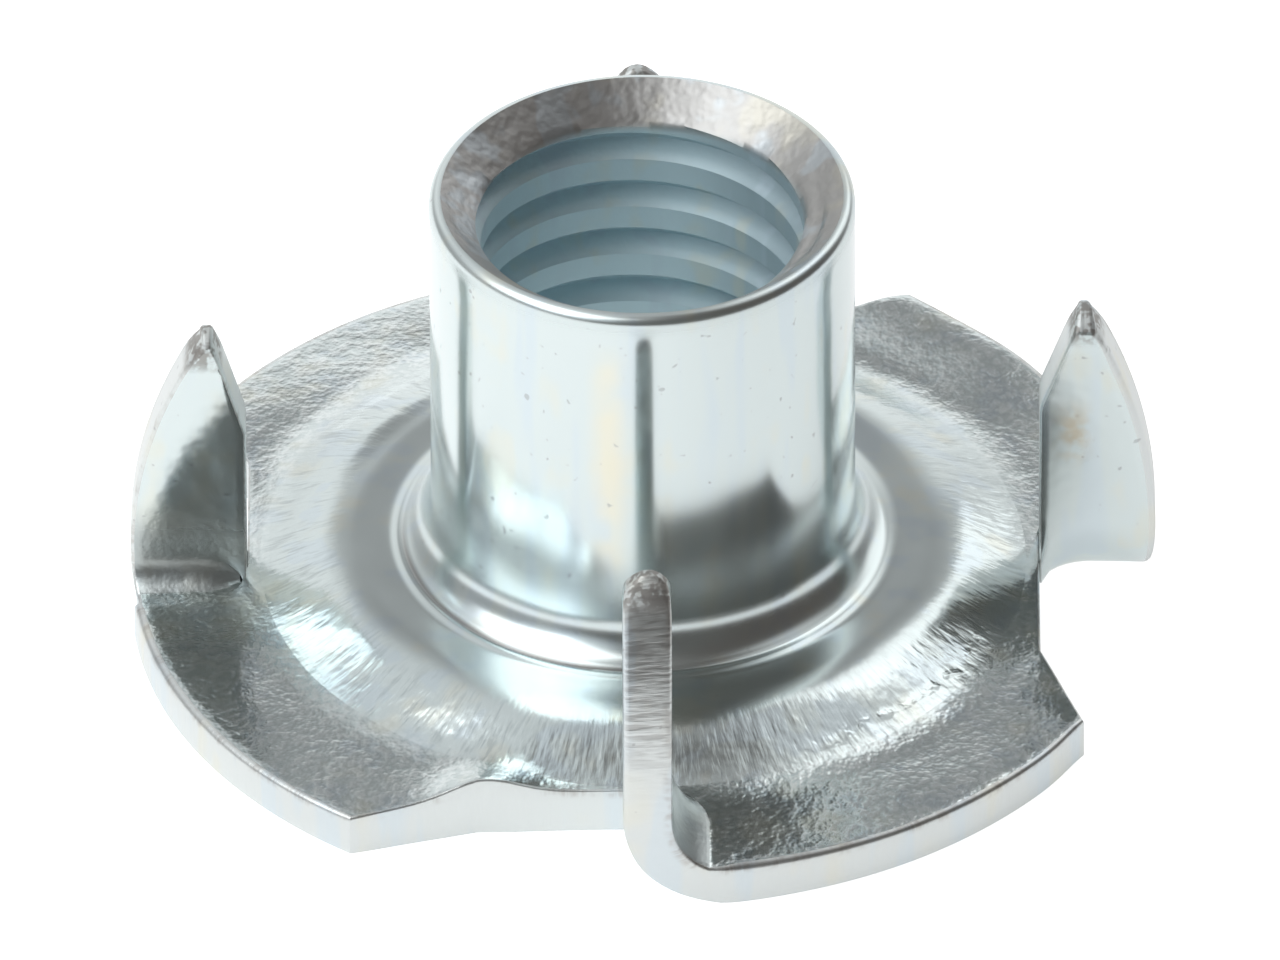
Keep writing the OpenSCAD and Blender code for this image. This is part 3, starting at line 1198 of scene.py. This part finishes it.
# painted light: the glow seen in the plating is stronger on the left of the nut
glow_left, glow_right = 0.60, 0.40  # in the plating, on either side of the nut
table = white.node_tree
white_shader = table.nodes["Principled BSDF"]
white_shader.inputs["Base Color"].default_value = (0.8, 0.8, 0.8, 1)
white_shader.inputs["Roughness"].default_value = 0.9
white_shader.inputs["Emission Color"].default_value = (1, 1, 1, 1)
path = table.nodes.new("ShaderNodeLightPath").outputs
mirrored = calc("MAXIMUM", path["Is Glossy Ray"], path["Is Transmission Ray"])
table_place = table.nodes.new("ShaderNodeTexCoord").outputs["Object"]
table_x = add_node(table, "ShaderNodeSeparateXYZ", table_place).outputs[0]
from_right = ramp(table_x, 0.022, -0.012)
# painted light: the mirrored glow falls from left to right
glow_mirrored = total(glow_right, product(from_right, glow_left - glow_right))
glow = total(product(path["Is Camera Ray"], glow_seen), product(mirrored, glow_mirrored))
table.links.new(glow, white_shader.inputs["Emission Strength"])

# %% [markdown]
# ## The studio
# Bright plating is only as good as what it mirrors. The room is grey, dim and a little warm on the
# right, with a white backdrop low at the back and a few soft patches of light and shade. The
# camera itself sees plain white behind the nut.

# %% World
world = bpy.data.worlds.new("studio")
bpy.context.scene.world = world
world.use_nodes = True
room = world.node_tree
background = room.nodes["Background"]
background.inputs["Strength"].default_value = 1.0
facing = room.nodes.new("ShaderNodeTexCoord").outputs["Generated"]
to_east, to_north, to_top = add_node(room, "ShaderNodeSeparateXYZ", facing).outputs


def toward(azimuth, elevation):
    """A direction: azimuth 0 is in front, 90 to the right, 180 behind."""
    a, e = math.radians(azimuth), math.radians(elevation)
    return Vector((math.sin(a) * math.cos(e), -math.cos(a) * math.cos(e), math.sin(e)))


def patch_of_light(azimuth, elevation, inner, outer):
    """1 within the inner angle of a direction, fading to 0 at the outer angle."""
    close = add_node(
        room, "ShaderNodeVectorMath", facing, toward(azimuth, elevation), operation="DOT_PRODUCT")
    near, far = (math.cos(math.radians(angle)) for angle in (inner, outer))
    return ramp(close.outputs["Value"], far, near)


tone = mixed(ramp(to_east, 0.4, -0.6), (0.105, 0.093, 0.086), (0.38, 0.38, 0.38))
at_back = ramp(to_north, 0.25, 0.8)
back_tone = mixed(ramp(to_east, 0.3, -0.3), (0.17, 0.17, 0.175), (0.34, 0.34, 0.34))
tone = mixed(at_back, tone, back_tone)
backdrop = product(at_back, ramp(to_top, 0.60, 0.38), hump(to_east, 0.0, 0.95))
tone = mixed(backdrop, tone, (1.05, 1.05, 1.05))
for *direction_and_size, paint in (
    # azimuth, elevation, inner and outer angle, colour
    (-118, 58, 14, 38, (0.70, 0.71, 0.72)),
    (-152, 28, 4, 18, (0.95, 0.95, 0.95)),
    (145, 38, 12, 26, (0.36, 0.36, 0.36)),
    (120, 60, 8, 22, (0.66, 0.66, 0.66)),
    (0, 25, 20, 48, (0.12, 0.115, 0.11)),
    (-42, 36, 12, 28, (0.62, 0.66, 0.70)),
):
    tone = mixed(patch_of_light(*direction_and_size), tone, paint)
camera_white = room.nodes.new("ShaderNodeBackground")
camera_white.inputs["Color"].default_value = (1, 1, 1, 1)
first_look = room.nodes.new("ShaderNodeLightPath").outputs["Is Camera Ray"]
room.links.new(tone, background.inputs["Color"])
room_mix = add_node(
    room, "ShaderNodeMixShader", first_look, background.outputs[0], camera_white.outputs[0])
room.links.new(room_mix.outputs[0], room.nodes["World Output"].inputs[0])
print(len(room.nodes), "nodes in the room")

# %% [markdown]
# ## Soft boxes
# Two lamps light the table and draw the long highlights on the barrel's foot. They stand half a
# metre away, and their brightness is given as how white their faces look.


# %% Soft boxes
def softbox(name, azimuth, elevation, distance, width, height, brightness):
    """An area lamp that looks at the nut. Brightness is how white its face is, 1 being white."""
    data = bpy.data.lights.new(name, "AREA")
    data.shape = "RECTANGLE"
    data.size, data.size_y = width, height
    data.energy = brightness * math.pi * width * height
    lamp = add_object(name, data)
    lamp.location = toward(azimuth, elevation) * distance
    lamp.rotation_euler = lamp.location.to_track_quat("Z", "Y").to_euler()
    print(f"{name}: {data.energy:.2f} W")


softbox("left", -62, 50, 0.5, 0.44, 0.42, 1.7)
softbox("back_right", 143, 40, 0.5, 0.20, 0.44, 0.95)

# %% [markdown]
# ## Camera
# The nut is seen from the front and a little above, through a long lens, so that its circles stay
# clean ellipses. The lens is worked out from how large a millimetre is in the picture.

# %% Camera
picture_width = 1280  # pixels
px_per_mm = 46.65
camera_elevation = math.radians(36.2)
roll = math.radians(-0.19)
distance = 0.85
sensor = 36
camera_data = bpy.data.cameras.new("camera")
camera_data.sensor_width = sensor
camera_data.lens = sensor * distance / (picture_width / px_per_mm * MM)
camera_data.clip_start, camera_data.clip_end = 0.002, 10
camera = add_object("camera", camera_data)
target = Vector((-0.064, 0, 3.25)) * MM
camera.rotation_euler = Euler((math.pi / 2 - camera_elevation, 0, 0))
back = Vector((0, -math.cos(camera_elevation), math.sin(camera_elevation)))
camera.location = target + back * distance
camera.rotation_euler.rotate_axis("Z", roll)
bpy.context.scene.camera = camera
bpy.context.scene.view_settings.view_transform = "Standard"
print(f"lens {camera_data.lens:.0f} mm")
